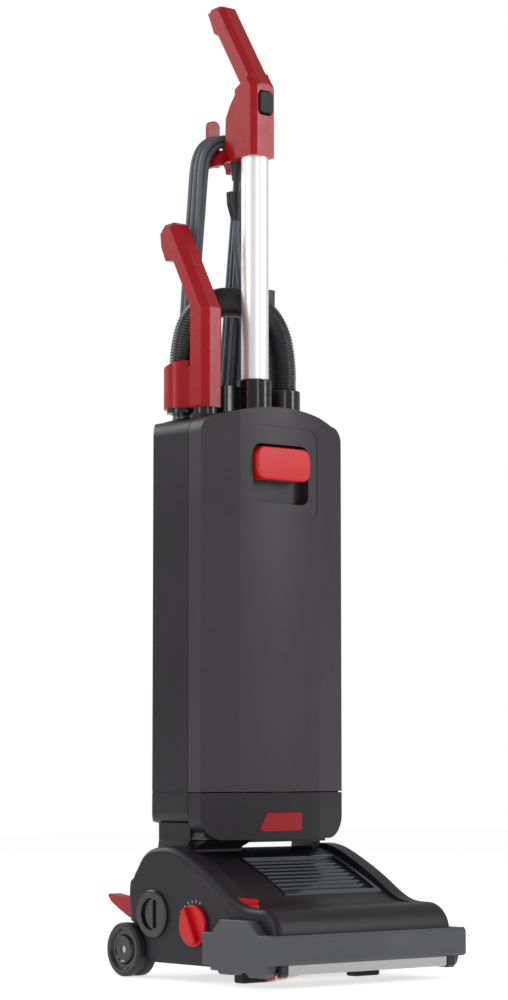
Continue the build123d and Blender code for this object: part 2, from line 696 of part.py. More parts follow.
def make_tube_socket():
    """Black collar that clamps the tube, with its shoulder block behind."""
    collar = rod_z(0, TUBE_Y, 21.3, 655, 746)
    collar = chamfer(edges_near(collar, "Z", 745.9, 746.1), 1.5)
    shoulder = block(-46, 22, -12, 16, 690, 737)
    shoulder = fillet(shoulder.edges().filter_by(Axis.Z), 8)
    shoulder = shoulder - upper_form(0)
    return collar + shoulder - rod_z(0, TUBE_Y, TUBE_R, 650, 760)


def ridged(profile, x0, x1, ridge):
    """Prism across X with both outlines chamfered into ridges."""
    body = across(profile, x0, x1)
    rims = edges_near(body, "X", x0 - 0.1, x0 + 0.1) + edges_near(body, "X", x1 - 0.1, x1 + 0.1)
    return chamfer(rims, ridge)


def handle_form():
    """Solid outline of the main handle: sleeve, waist and swept-back grip with a lip at the back."""
    sleeve = ridged(outline((-40, SLEEVE_Z - 8), (-40, 1124), (-28, 1143), (4, 1126), (4, SLEEVE_Z - 8)),
                    -20, 20, 6.5)
    sleeve = sleeve & block(-30, 30, -50, 50, SLEEVE_Z, 1200)
    side = outline((-19, SLEEVE_Z), (25, SLEEVE_Z), (29, 1040), (24, 1054), (23, 1090), (14, 1106), (0, 1124),
                   (-20, 1128))
    fin = across(side, -14, 14)
    grip = ridged(outline((-40, 1100), (-40, 1126), (32, 1240.5), (41, 1243), (58, 1242), (63, 1234), (-2, 1130),
                          (-2, 1100)), -15.5, 15.5, 6.5)
    lip = across(outline((40, 1205), (46, 1205), (53, 1209), (60, 1225), (66, 1238), (50, 1238)), -9, 9)
    return sleeve + fin + grip + lip


def make_handle_half(form, side):
    """One moulded half of the handle, hollow round the tube and the switch."""
    half = form & (block(0, 40, -80, 100, 1000, 1280) if side > 0 else block(-40, 0, -80, 100, 1000, 1280))
    half = half - rod_z(0, TUBE_Y, TUBE_R, 1000, 1074)
    pocket = block(-11.6, 11.6, -60, -26, 1085.4, 1117.6)
    pocket = fillet(pocket.edges().filter_by(Axis.Y), 6)
    half = half - pocket
    return half - rod_x(-34, 1101.5, 2 + RUNNING, -14, 14)


def make_handle_switch():
    """Rocker switch on the front of the handle."""
    rocker = block(-11, 11, -43.5, -29, 1087.5, 1115.5)
    rocker = fillet(rocker.edges().filter_by(Axis.Y), 5)
    rocker = fillet(edges_near(rocker, "Y", -43.6, -43.4), 1.5)
    return rocker + rod_x(-34, 1101.5, 2, -13.6, 13.6)


def make_upper_hook(handle):
    """Upper cord hook: saddle, web and upright paddle."""
    centre = 1027.6
    ring = rod_y(0, centre, HOOK_R, 20, 63) - rod_y(0, centre, HOOK_R - 6.5, 19, 64)
    ring = ring & block(-40, 40, 19, 66, centre, centre + 40)
    root = block(-10, 10, 20, 34, 1040, 1052)
    paddle = block(-9, 9, 63, 70, 1036, 1096)
    paddle = fillet([edge for edge in paddle.edges().filter_by(Axis.Y) if edge.center().Z > 1090], 8)
    return ring + root + paddle - handle


def make_lower_hook():
    """Lower cord hook on the back of the housing."""
    centre = 536.2
    plate = block(-34, 34, HOUSING_BACK, HOUSING_BACK + 4, 495, 556)
    ring = rod_y(0, centre, HOOK_R, HOUSING_BACK, 124) - rod_y(0, centre, HOOK_R - 6.5, 50, 130)
    ring = ring & block(-40, 40, 50, 130, centre - 40, centre)
    paddle = block(-9, 9, 124, 129.5, 468, 526)
    paddle = fillet([edge for edge in paddle.edges().filter_by(Axis.Y) if edge.center().Z < 480], 8)
    return plate + ring + paddle


# ---------------------------------------------------------------- wand, hose and tool
def make_wand_handle():
    """Red hose wand: upright column, bent grip and the cup that holds the hose end."""
    profile = outline((-25, 700), (-25, 832), (40, 946), (48, 950), (66, 949), (73, 941),
                      (13, 835), (13, 700))
    grip = ridged(profile, WAND_X - 16.5, WAND_X + 16.5, 8)
    grip = grip & block(-100, -40, -60, 90, 706, 1000)
    lip = across(outline((50, 902), (65, 902), (74, 922), (76, 940), (60, 944)), WAND_X - 9, WAND_X + 9)
    cup = rod_z(WAND_X, CUP_Y, 26, 708, 768)
    web = block(WAND_X - 14, WAND_X + 14, WAND_Y, CUP_Y, 708, 760)
    body = joined([grip, lip, cup, web])
    body = body - rod_z(WAND_X, CUP_Y, 22.5, 722, 800)
    body = body - rod_z(WAND_X, WAND_Y, 12, 700, 800)
    slant = Pos(WAND_X, CUP_Y, 774) * Rot(-14, 0, 0) * Box(60, 80, 20)
    return body - (slant & block(-110, -30, 14, 90, 740, 800))


def make_wand_tube():
    """Black spigot under the wand handle, and the ring under its cup."""
    spigot = rod_z(WAND_X, WAND_Y, 15.9, 641, 706) - rod_z(WAND_X, WAND_Y, 13, 640, 707)
    ring = rod_z(WAND_X, CUP_Y, 22, 702.6, 708)
    return group([spigot, ring])


def make_hose_cuff():
    """Fixed hose cuff on the right of the housing's top."""
    cuff = rod_z(CUFF_X, CUFF_Y, 24, 702, 742)
    cuff = fillet(edges_near(cuff, "Z", 741.9, 742.1), 1.5)
    pipe = rod_z(CUFF_X, CUFF_Y, 20, 640, 704)
    return cuff + pipe - rod_z(CUFF_X, CUFF_Y, 17, 630, 730) - rod_z(CUFF_X, CUFF_Y, 21, 724, 745)


def make_hose():
    """Suction hose from the wand cup over to the cuff, in one wide arch."""
    up = Line((WAND_X, CUP_Y, 724), (WAND_X, CUP_Y, 760))
    arch = Spline((WAND_X, CUP_Y, 760), (3, 24, 850), (CUFF_X, CUFF_Y, 758),
                  tangents=[(0, 0, 1), (0, 0, -1)])
    down = Line((CUFF_X, CUFF_Y, 758), (CUFF_X, CUFF_Y, 726))
    path = up + arch + down
    return sweep(Plane(path @ 0, z_dir=path % 0) * Circle(HOSE_R), path)


def make_crevice_tool():
    """Flat crevice tool parked upright behind the housing."""
    lower = Plane.XY.offset(604) * RectangleRounded(22, 11, 4)
    middle = Plane.XY.offset(700) * RectangleRounded(34, 15, 4)
    top = Plane.XY.offset(884) * RectangleRounded(36, 17, 4)
    blade = loft([lower, middle]) + loft([middle, top])
    knob = Cylinder(8, 14)
    knob = fillet(knob.edges().group_by(Axis.Z)[-1], 4)
    tool = blade + Pos(0, 0, 891) * knob
    for z in (826, 788):
        tool = tool + Pos(0, 0, z) * Box(46, 8, 9)
    return Pos(TOOL_X, TOOL_Y + 4, 0) * tool


def make_tool_holder():
    """Pocket on the back of the housing for the crevice tool."""
    shell = block(TOOL_X - 21, TOOL_X + 21, 61.5, 84, 594, 654)
    root = block(TOOL_X - 21, TOOL_X + 7, HOUSING_BACK, 62, 600, 650)
    hollow = Pos(TOOL_X, TOOL_Y + 4, 0) * loft([Plane.XY.offset(603.5) * RectangleRounded(23.2, 12.2, 4),
                                                Plane.XY.offset(700) * RectangleRounded(35.2, 16.2, 4)])
    return shell + root - hollow


# ---------------------------------------------------------------- cord
def hank_plane():
    tilt = radians(HANK_TILT)
    return Plane(origin=(0, HANK_Y, HANK_Z), x_dir=(1, 0, 0), z_dir=(0, -cos(tilt), -sin(tilt)))


def make_cord_hank():
    """Cord wound over both hooks: outer shape of all its turns."""
    ring = Rot(0, 0, 90) * (SlotOverall(HANK_LONG, 2 * HANK_OUT)
                            - SlotOverall(HANK_LONG - 2 * (HANK_OUT - HANK_IN), 2 * HANK_IN))
    return extrude(hank_plane() * ring, HANK_DEEP / 2, both=True)


def cord_run(name, points):
    """Plain round tube of cord along straight runs joined by wide tangent arcs."""
    corners = [Vector(*point) for point in points]
    radii = []
    for before, here, after in zip(corners, corners[1:], corners[2:]):
        turn = radians((here - before).get_angle(after - here))
        shorter = min((here - before).length, (after - here).length)
        radii.append(0.45 * shorter / tan(turn / 2))
    path = FilletPolyline(*corners, radius=radii)
    tube = sweep(Plane(path @ 0, z_dir=path % 0) * Circle(CORD_R), path)
    share = tube.volume / (pi * CORD_R ** 2 * path.length)
    print(name, "radii", [round(r, 1) for r in radii], "length", round(path.length, 1),
          "volume share", round(share, 3))
    return tube


LEAD_ROUTE = [(0, 19, 958), (0, 19, 936), (8, 26, 914), (21, 37, 893), (32, 47.5, 870), (37, 56.2, 845)]
TAIL_ROUTE = [(36, 84, 702), (31, 88, 680), (19, 91, 662), (7, 92, 645), (1, 92.5, 622)]
PLUG_Z = 622.0


def make_strain_relief():
    """Tapered strain relief under the handle sleeve, with its short pigtail."""
    cone = Pos(0, 18, 1021.5) * Rot(180, 0, 0) * Cone(8, 5.6, 23)
    return cone + rod_z(0, 18, CORD_R, 994, 1011)


def make_cord_connector():
    """In-line connector between the pigtail and the long cord."""
    top = Plane.XY.offset(994) * RectangleRounded(24, 15, 4)
    waist = Plane.XY.offset(978) * RectangleRounded(22, 15, 4)
    end = Plane.XY.offset(958) * RectangleRounded(11, 11, 4)
    return Pos(0, 19, 0) * (loft([waist, top]) + loft([end, waist]))


def make_cord_plug():
    """Three-pin plug, hanging inside the hank."""
    body = Pos(1, 92.5, 0) * loft([Plane.XY.offset(PLUG_Z) * Circle(7),
                                   Plane.XY.offset(PLUG_Z - 22) * RectangleRounded(28, 24, 8)])
    body = body + Pos(1, 92.5, PLUG_Z - 34) * extrude(RectangleRounded(30, 26, 8), 12)
    for x in (-5.6, 7.6):
        body = body + block(x - 0.75, x + 0.75, 86.5, 92.8, PLUG_Z - 50, PLUG_Z - 33)
    return body + rod_z(1, 98, 2.4, PLUG_Z - 54, PLUG_Z - 33)


# ---------------------------------------------------------------- writing the parts
handle = handle_form()

PARTS = {
    "head_cover": make_head_cover(),
    "head_base": make_head_base(),
    "bumper": make_bumper(),
    "sole_plate": make_sole_plate(),
    "lip_ends": make_lip_ends(),
    "glide_carriage": make_glide_carriage(),
    "deck_grille": make_deck_grille(),
    "port_collar": make_port_collar(),
    "port_cap": make_port_cap(),
    "height_knob": make_height_knob(),
    "foot_pedal": make_foot_pedal(),
    "pedal_spring": make_pedal_spring(),
    "brush_latch": make_brush_latch(),
    "head_fasteners": make_head_fasteners(),
    "brush_motor": make_brush_motor(),
    "motor_pulley": make_motor_pulley(),
    "drive_belt": make_drive_belt(),
    "brush_core": make_brush_core(),
    "bristle_rows": make_bristle_rows(),
    "brush_bearings": make_brush_bearings(),
    "suction_neck": make_suction_neck(),
    "wheel_left": make_wheel(-1),
    "wheel_right": make_wheel(1),
    "tyre_left": make_tyre(-1),
    "tyre_right": make_tyre(1),
    "rear_housing": make_rear_housing(),
    "lower_panel": make_lower_panel(),
    "front_cover": make_front_cover(),
    "cover_hinge_pin": make_cover_hinge_pin(),
    "latch_button": make_latch_button(),
    "latch_pin": make_latch_pin(),
    "release_tab": make_release_tab(),
    "pivot_drum": make_pivot_drum(),
    "corner_fairing": make_corner_fairing(),
    "motor_deck": make_motor_deck(),
    "vacuum_motor": make_vacuum_motor(),
    "motor_fan": make_motor_fan(),
    "motor_seal": make_motor_seal(),
    "exhaust_filter": make_exhaust_filter(),
    "dust_bag": make_dust_bag(),
    "bag_collar": make_bag_collar(),
    "handle_tube": make_handle_tube(),
    "tube_socket": make_tube_socket(),
    "handle_left": make_handle_half(handle, -1),
    "handle_right": make_handle_half(handle, 1),
    "handle_switch": make_handle_switch(),
    "upper_hook": make_upper_hook(handle),
    "lower_hook": make_lower_hook(),
    "wand_handle": make_wand_handle(),
    "wand_tube": make_wand_tube(),
    "hose_cuff": make_hose_cuff(),
    "hose": make_hose(),
    "crevice_tool": make_crevice_tool(),
    "tool_holder": make_tool_holder(),
    "strain_relief": make_strain_relief(),
    "cord_connector": make_cord_connector(),
    "cord_lead": cord_run("cord_lead", LEAD_ROUTE),
    "cord_hank": make_cord_hank(),
    "cord_tail": cord_run("cord_tail", TAIL_ROUTE),
    "cord_plug": make_cord_plug(),
}

for name, shape in PARTS.items():
    export_step(Pos(0, BOX_SHIFT, 0) * shape, f"parts/{name}.step")
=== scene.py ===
import math

import bmesh
import bpy
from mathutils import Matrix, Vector
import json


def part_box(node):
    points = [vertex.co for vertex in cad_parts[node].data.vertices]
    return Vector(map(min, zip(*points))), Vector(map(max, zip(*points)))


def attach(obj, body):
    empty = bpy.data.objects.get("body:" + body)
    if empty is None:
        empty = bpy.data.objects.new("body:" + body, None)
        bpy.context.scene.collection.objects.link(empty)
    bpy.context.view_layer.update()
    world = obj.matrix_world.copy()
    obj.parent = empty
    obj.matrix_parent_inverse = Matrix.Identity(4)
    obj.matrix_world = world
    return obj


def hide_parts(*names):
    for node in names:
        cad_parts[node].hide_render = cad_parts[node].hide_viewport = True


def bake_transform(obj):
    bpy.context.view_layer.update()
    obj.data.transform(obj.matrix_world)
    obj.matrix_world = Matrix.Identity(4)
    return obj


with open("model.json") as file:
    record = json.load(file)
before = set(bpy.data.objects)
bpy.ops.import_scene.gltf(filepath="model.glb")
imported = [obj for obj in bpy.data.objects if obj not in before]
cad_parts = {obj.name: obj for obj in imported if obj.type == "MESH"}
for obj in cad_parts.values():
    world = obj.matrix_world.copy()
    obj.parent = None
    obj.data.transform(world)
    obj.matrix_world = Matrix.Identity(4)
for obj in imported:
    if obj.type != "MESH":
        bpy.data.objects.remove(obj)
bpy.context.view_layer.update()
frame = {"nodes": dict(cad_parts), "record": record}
nodes = frame["nodes"]

SHIFT = 0.05325  # working origin to the row frame, along Y


def at(x, y, z):
    """A point given in the CAD's working millimetres, in the row frame in metres."""
    return Vector((x / 1000, y / 1000 + SHIFT, z / 1000))


# ---------------------------------------------------------------- camera, light and floor
TURN = math.radians(40)
RISE = math.radians(5.41)
camera_data = bpy.data.cameras.new("camera")
camera_data.lens = 100.7
camera_data.sensor_width = 36
camera = bpy.data.objects.new("camera", camera_data)
bpy.context.scene.collection.objects.link(camera)
camera.location = at(-2267, -2719, 259.6)
look = Vector((math.sin(TURN) * math.cos(RISE), math.cos(TURN) * math.cos(RISE), math.sin(RISE)))
camera.rotation_euler = look.to_track_quat("-Z", "Y").to_euler()
bpy.context.scene.camera = camera

bpy.context.scene.view_settings.view_transform = "Standard"


def studio_world(soft_light=0.45):
    """Even white light from all round, in front of a plain white backdrop."""
    made = bpy.data.worlds.new("studio")
    made.use_nodes = True
    tree = made.node_tree
    light = tree.nodes["Background"]
    light.inputs["Color"].default_value = (1, 1, 1, 1)
    light.inputs["Strength"].default_value = soft_light
    backdrop = tree.nodes.new("ShaderNodeBackground")
    backdrop.inputs["Color"].default_value = (1, 1, 1, 1)
    rays = tree.nodes.new("ShaderNodeLightPath")
    choice = tree.nodes.new("ShaderNodeMixShader")
    tree.links.new(rays.outputs["Is Camera Ray"], choice.inputs[0])
    tree.links.new(light.outputs[0], choice.inputs[1])
    tree.links.new(backdrop.outputs[0], choice.inputs[2])
    tree.links.new(choice.outputs[0], tree.nodes["World Output"].inputs["Surface"])
    return made


bpy.context.scene.world = studio_world()


def lamp(name, place, target, size, power):
    """A soft rectangular lamp, aimed at a point."""
    data = bpy.data.lights.new(name, "AREA")
    data.shape = "RECTANGLE"
    data.size, data.size_y = size
    data.energy = power
    light = bpy.data.objects.new(name, data)
    bpy.context.scene.collection.objects.link(light)
    light.location = place
    light.rotation_euler = (Vector(target) - Vector(place)).to_track_quat("-Z", "Y").to_euler()


lamp("key", (1.8, -2.4, 2.0), (0, 0, 0.6), (0.7, 2.2), 40)
lamp("side", (-2.4, 0.3, 1.2), (0, 0, 0.7), (0.5, 2.4), 16)
lamp("front", (-0.9, -2.6, 1.0), (0, 0, 0.6), (0.3, 2.2), 10)
lamp("back", (-0.8, 2.6, 2.0), (0, 0, 0.3), (2.0, 1.4), 30)


# ---------------------------------------------------------------- materials
def texture(tree, kind, **values):
    """A texture node with its inputs set by name."""
    node = tree.nodes.new(kind)
    for key, value in values.items():
        node.inputs[key].default_value = value
    return node


def surface(name, color, rough, metal=0.0, grain=900.0, depth=0.00008, spread=0.12, coat=0.0,
            scuff=0.12, stretch=(1, 1, 1), weave=0.0, shine=0.4):
    """Procedural material: colour that varies a little, uneven gloss, and a fine grain in the bump."""
    made = bpy.data.materials.new(name)
    made.use_nodes = True
    tree = made.node_tree
    link = tree.links.new
    shader = tree.nodes["Principled BSDF"]
    shader.inputs["Metallic"].default_value = metal
    shader.inputs["Coat Weight"].default_value = coat
    shader.inputs["Coat Roughness"].default_value = 0.08
    shader.inputs["Specular IOR Level"].default_value = shine
    place = tree.nodes.new("ShaderNodeTexCoord")
    scaled = tree.nodes.new("ShaderNodeMapping")
    scaled.inputs["Scale"].default_value = stretch
    link(place.outputs["Object"], scaled.inputs["Vector"])

    cloud = texture(tree, "ShaderNodeTexNoise", Scale=7.0, Detail=5.0, Roughness=0.6)
    link(scaled.outputs["Vector"], cloud.inputs["Vector"])
    ramp = tree.nodes.new("ShaderNodeValToRGB")
    low = [c * (1 - spread) for c in color]
    high = [min(1.0, c * (1 + spread) + 0.002) for c in color]
    ramp.color_ramp.elements[0].position = 0.3
    ramp.color_ramp.elements[0].color = (*low, 1)
    ramp.color_ramp.elements[1].position = 0.7
    ramp.color_ramp.elements[1].color = (*high, 1)
    link(cloud.outputs["Fac"], ramp.inputs["Fac"])
    link(ramp.outputs["Color"], shader.inputs["Base Color"])

    marks = texture(tree, "ShaderNodeTexNoise", Scale=55.0, Detail=7.0, Roughness=0.7)
    link(scaled.outputs["Vector"], marks.inputs["Vector"])
    gloss = tree.nodes.new("ShaderNodeMapRange")
    gloss.inputs["From Min"].default_value = 0.3
    gloss.inputs["From Max"].default_value = 0.75
    gloss.inputs["To Min"].default_value = max(0.03, rough - scuff / 2)
    gloss.inputs["To Max"].default_value = min(1.0, rough + scuff / 2)
    link(marks.outputs["Fac"], gloss.inputs["Value"])
    link(gloss.outputs["Result"], shader.inputs["Roughness"])

    fine = texture(tree, "ShaderNodeTexNoise", Scale=grain, Detail=3.0, Roughness=0.55)
    link(scaled.outputs["Vector"], fine.inputs["Vector"])
    height = fine.outputs["Fac"]
    if weave:
        threads = texture(tree, "ShaderNodeTexVoronoi", Scale=weave)
        link(scaled.outputs["Vector"], threads.inputs["Vector"])
        mix = tree.nodes.new("ShaderNodeMath")
        mix.operation = "ADD"
        link(fine.outputs["Fac"], mix.inputs[0])
        link(threads.outputs["Distance"], mix.inputs[1])
        height = mix.outputs[0]
    bump = tree.nodes.new("ShaderNodeBump")
    bump.inputs["Strength"].default_value = 0.6
    bump.inputs["Distance"].default_value = depth
    link(height, bump.inputs["Height"])
    link(bump.outputs["Normal"], shader.inputs["Normal"])
    return made


MATERIALS = {
    "charcoal": surface("charcoal_moulded", (0.024, 0.0205, 0.0235), 0.40, grain=1500, depth=0.00010,
                        scuff=0.10),
    "dark_shell": surface("dark_moulded", (0.013, 0.012, 0.013), 0.40, grain=1400, depth=0.00010),
    "bumper_grey": surface("bumper_soft", (0.060, 0.061, 0.067), 0.48, grain=1100, depth=0.00014,
                           scuff=0.16),
    "black_gloss": surface("black_glossy", (0.008, 0.008, 0.009), 0.22, grain=500, depth=0.00003,
                           coat=0.25),
    "red_gloss": surface("red_deep", (0.31, 0.003, 0.008), 0.30, grain=900, depth=0.00005, coat=0.06,
                         spread=0.07, shine=0.28),
    "bright_red": surface("red_bright", (0.52, 0.003, 0.008), 0.32, grain=900, depth=0.00004, coat=0.06,
                          spread=0.05, shine=0.28),
    "bristle_red": surface("bristle", (0.50, 0.012, 0.012), 0.5, grain=1500, depth=0.0001),
    "tube_metal": surface("satin_tube", (0.95, 0.95, 0.96), 0.38, metal=0.72, grain=700,
                          depth=0.000004, spread=0.015, scuff=0.02, stretch=(1, 1, 0.2)),
    "sole_metal": surface("brushed_sole", (0.44, 0.44, 0.44), 0.36, metal=1.0, grain=700,
                          depth=0.00005, spread=0.08, stretch=(0.05, 1, 1)),
    "steel": surface("plain_steel", (0.5, 0.5, 0.51), 0.35, metal=1.0, grain=700, depth=0.00004),
    "tyre_black": surface("tyre_moulded", (0.012, 0.012, 0.013), 0.55, grain=1000, depth=0.00012),
    "belt_rubber": surface("belt_matt", (0.014, 0.014, 0.014), 0.65, grain=900, depth=0.0001),
    "hose_black": surface("hose_ribbed_black", (0.012, 0.012, 0.014), 0.30, grain=900, depth=0.00004,
                          coat=0.15),
    "cord_grey": surface("cord_jacket", (0.096, 0.106, 0.124), 0.36, grain=1300, depth=0.00010, weave=700),
    "bag_paper": surface("bag_fibre", (0.74, 0.69, 0.58), 0.85, grain=700, depth=0.0003, weave=260),
    "filter_media": surface("filter_fibre", (0.66, 0.66, 0.63), 0.9, grain=900, depth=0.0002, weave=400),
    "nylon": surface("nylon_plain", (0.55, 0.55, 0.53), 0.45, grain=900, depth=0.00006),
}

# finishes of single nodes that differ from their slot's, and painted shade: a darker copy of the charcoal
# on the head cover, rear housing and lower panel, and the switch's near-black on the glide carriage under
# the head
CONNECTOR = surface("connector_moulded", (0.020, 0.021, 0.024), 0.42, grain=900, depth=0.00008)
# painted shade: the charcoal made darker, for the head cover, rear housing and lower panel
PAINTED_SHADE_CHARCOAL = surface("charcoal_painted_shade", (0.0125, 0.0105, 0.0125), 0.40, grain=1500, depth=0.00010,
                        scuff=0.10, shine=0.28)
# near-black matt of the handle switch; on the glide carriage under the head it is painted shade
SWITCH_MATT_AND_PAINTED_SHADE = surface("switch_matt_and_painted_shade", (0.010, 0.010, 0.011), 0.5, grain=900, depth=0.00005, shine=0.25)
GRILLE = surface("grille_glossy", (0.010, 0.013, 0.018), 0.20, grain=600, depth=0.00003, coat=0.5)
FINISH_OF = {"cord_connector": CONNECTOR, "cord_plug": CONNECTOR, "strain_relief": CONNECTOR,
             "head_cover": PAINTED_SHADE_CHARCOAL, "rear_housing": PAINTED_SHADE_CHARCOAL, "lower_panel": PAINTED_SHADE_CHARCOAL,
             "deck_grille": GRILLE, "handle_switch": SWITCH_MATT_AND_PAINTED_SHADE, "glide_carriage": SWITCH_MATT_AND_PAINTED_SHADE}

slot_of = {item["node"]: item["material_slot"] for item in frame["record"]["subparts"]}
for name, thing in nodes.items():
    thing.data.materials.clear()
    thing.data.materials.append(FINISH_OF.get(name, MATERIALS[slot_of[name]]))


# ---------------------------------------------------------------- softened edges on the mouldings
SOFT_EDGES = {  # bevel width in millimetres
    "head_cover": 1.1, "bumper": 0.8, "front_cover": 0.9, "rear_housing": 0.9, "lower_panel": 0.9,
    "foot_pedal": 0.8, "wand_handle": 0.8, "handle_left": 0.7, "handle_right": 0.7, "deck_grille": 0.5,
    "upper_hook": 0.6,
    "lower_hook": 0.6, "pivot_drum": 0.8, "corner_fairing": 0.7, "port_collar": 0.5, "port_cap": 0.6,
    "brush_latch": 0.7, "tube_socket": 0.7, "release_tab": 0.7, "height_knob": 0.4, "wheel_left": 0.5,
    "wheel_right": 0.5, "tyre_left": 0.5, "tyre_right": 0.5, "crevice_tool": 0.7, "tool_holder": 0.6,
    "cord_plug": 0.7, "cord_connector": 0.8, "lip_ends": 0.5, "sole_plate": 0.4, "hose_cuff": 0.5,
}
for name, size in SOFT_EDGES.items():
    bevel = nodes[name].modifiers.new("soft_edges", "BEVEL")
    bevel.width = size / 1000
    bevel.segments = 2
    bevel.limit_method = "ANGLE"
    bevel.angle_limit = math.radians(38)
    bevel.use_clamp_overlap = True
    bevel.harden_normals = False


# ---------------------------------------------------------------- mesh helpers
def piece(name, verts, faces, body, slot, smooth=True):
    mesh = bpy.data.meshes.new(name)
    mesh.from_pydata([tuple(v) for v in verts], [], faces)
    mesh.validate()
    shell = bmesh.new()
    shell.from_mesh(mesh)
    bmesh.ops.recalc_face_normals(shell, faces=shell.faces)
    shell.to_mesh(mesh)
    shell.free()
    for polygon in mesh.polygons:
        polygon.use_smooth = smooth
    thing = bpy.data.objects.new(name, mesh)
    bpy.context.scene.collection.objects.link(thing)
    thing.data.materials.append(MATERIALS[slot])
    if body:
        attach(thing, body)
    return thing


def nurbs(name, points, radius=0.0, resolution=8):
    """One open NURBS spline through the frame; a radius makes it a round cord."""
    data = bpy.data.curves.new(name, "CURVE")
    data.dimensions = "3D"
    spline = data.splines.new("NURBS")
    spline.points.add(len(points) - 1)
    for place, point in zip(spline.points, points):
        place.co = (*point, 1.0)
    spline.order_u = 3
    spline.use_endpoint_u = True
    spline.resolution_u = resolution
    data.bevel_depth = radius
    data.bevel_resolution = 3
    data.use_fill_caps = radius > 0
    return bpy.data.objects.new(name, data)


def line_of(curve):
    """Points that a bevel-free curve passes through, in order."""
    bpy.context.scene.collection.objects.link(curve)
    bpy.context.view_layer.update()
    mesh = bpy.data.meshes.new_from_object(curve.evaluated_get(bpy.context.evaluated_depsgraph_get()))
    points = [v.co.copy() for v in mesh.vertices]
    bpy.data.meshes.remove(mesh)
    data = curve.data
    bpy.data.objects.remove(curve)
    bpy.data.curves.remove(data)
    return points


def evenly(points, count):
    """The same line, cut into equal runs."""
    reach = [0.0]
    for a, b in zip(points, points[1:]):
        reach.append(reach[-1] + (b - a).length)
    made = []
    index = 0
    for step in range(count + 1):
        want = reach[-1] * step / count
        while index < len(reach) - 2 and reach[index + 1] < want:
            index += 1
        span = reach[index + 1] - reach[index]
        made.append(points[index].lerp(points[index + 1], (want - reach[index]) / span if span else 0.0))
    return made, reach[-1]


def tube(points, radii, around=32):
    """Closed tube round a line, with a radius for every point."""
    verts, faces = [], []
    side = Vector((0, 1, 0))
    for index, (point, radius) in enumerate(zip(points, radii)):
        ahead = points[min(index + 1, len(points) - 1)] - points[max(index - 1, 0)]
        ahead.normalize()
        side = (side - ahead * side.dot(ahead)).normalized()
        other = ahead.cross(side)
        for k in range(around):
            turn = 2 * math.pi * k / around
            verts.append(point + (side * math.cos(turn) + other * math.sin(turn)) * radius)
    for index in range(len(points) - 1):
        for k in range(around):
            a = index * around + k
            b = index * around + (k + 1) % around
            faces.append((a, b, b + around, a + around))
    faces.append(tuple(reversed(range(around))))
    faces.append(tuple(range((len(points) - 1) * around, len(points) * around)))
    return verts, faces


# ---------------------------------------------------------------- suction hose
HOSE_ROUTE = [(-70, 37, 724), (-70, 37, 746), (-70, 37, 782), (-61, 34, 822), (-33, 28, 847), (3, 24, 854),
              (40, 22, 847), (69, 21, 822), (78, 20, 782), (78, 20, 746), (78, 20, 726)]
HOSE_R = 0.019
RIB = 0.0034
hose_line = line_of(nurbs("hose_line", [at(*p) for p in HOSE_ROUTE], resolution=24))
rough_length = sum((b - a).length for a, b in zip(hose_line, hose_line[1:]))
ribs = round(rough_length / RIB)
hose_line, hose_length = evenly(hose_line, ribs * 6)
rib_shape = [0.00, 0.55, 1.00, 1.00, 0.55, 0.00]
hose_radii = [HOSE_R - 0.0013 + 0.0013 * rib_shape[i % 6] for i in range(len(hose_line))]
hose = piece("ribbed_hose", *tube(hose_line, hose_radii, 40), None, "hose_black")
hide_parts("hose")
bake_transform(hose)


# ---------------------------------------------------------------- power cord
CORD_D = 0.0083
LEAD_ROUTE = [(0, 19, 958), (0, 19, 936), (8, 26, 914), (21, 37, 893), (32, 47.5, 870), (37, 56.2, 845)]
TAIL_ROUTE = [(36, 84, 702), (31, 88, 680), (19, 91, 662), (7, 92, 645), (1, 92.5, 622)]
HANK_TILT = math.radians(6.56)
HANK_ARC = 248.5          # hank's middle to the middle of each end bend
TURNS = 7                 # whole turns before the last part turn
DEPTHS = [12.6, 4.2, -4.2, -12.6, -12.6, -4.2, 4.2, 7.0]   # place through the hank, turn by turn
WIDTHS = [41.2, 41.2, 41.2, 41.2, 32.8, 32.8, 32.8, 32.8]  # half width, turn by turn


def in_hank(u, v, w):
    """A point of the hank's own plane, in working millimetres."""
    low, up = math.sin(HANK_TILT), math.cos(HANK_TILT)
    return (u, 74.5 - low * v - up * w, 781.5 + up * v - low * w)


def hank_points():
    stations = [("right", 45), ("right", -40), ("right", -125), ("right", -205)]
    stations += [("low", -30 * k) for k in range(7)]
    stations += [("left", -205), ("left", -125), ("left", -40), ("left", 45), ("left", 125), ("left", 205)]
    stations += [("top", 180 - 30 * k) for k in range(7)]
    stations += [("right", 205), ("right", 125)]
    points = []
    for turn in range(TURNS + 1):
        for index, (kind, value) in enumerate(stations):
            if turn == TURNS and index > 1:
                return points
            part = turn + index / len(stations)
            step, rest = int(part), part - int(part)
            after = min(step + 1, TURNS)
            w = DEPTHS[step] * (1 - rest) + DEPTHS[after] * rest
            u = WIDTHS[step] * (1 - rest) + WIDTHS[after] * rest
            slack = math.sin(1.7 * turn + 0.9 * index)
            if kind in ("left", "right"):
                sign = -1 if kind == "left" else 1
                bow = 1.5 * math.cos(value / 205 * math.pi / 2) * math.sin(2.1 * turn + 0.5 * sign)
                points.append(in_hank(sign * (u + bow), value, w + 0.9 * slack))
            else:
                middle = HANK_ARC if kind == "top" else -HANK_ARC
                angle = math.radians(value)
                points.append(in_hank(1.02 * u * math.cos(angle), middle + 1.02 * u * math.sin(angle), w))
    return points


cord_route = LEAD_ROUTE + hank_points() + TAIL_ROUTE
power_cord = nurbs("power_cord", [at(*p) for p in cord_route], radius=CORD_D / 2, resolution=5)
bpy.context.scene.collection.objects.link(power_cord)
power_cord.data.materials.append(MATERIALS["cord_grey"])
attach(power_cord, "upper")
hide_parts("cord_lead", "cord_hank", "cord_tail")


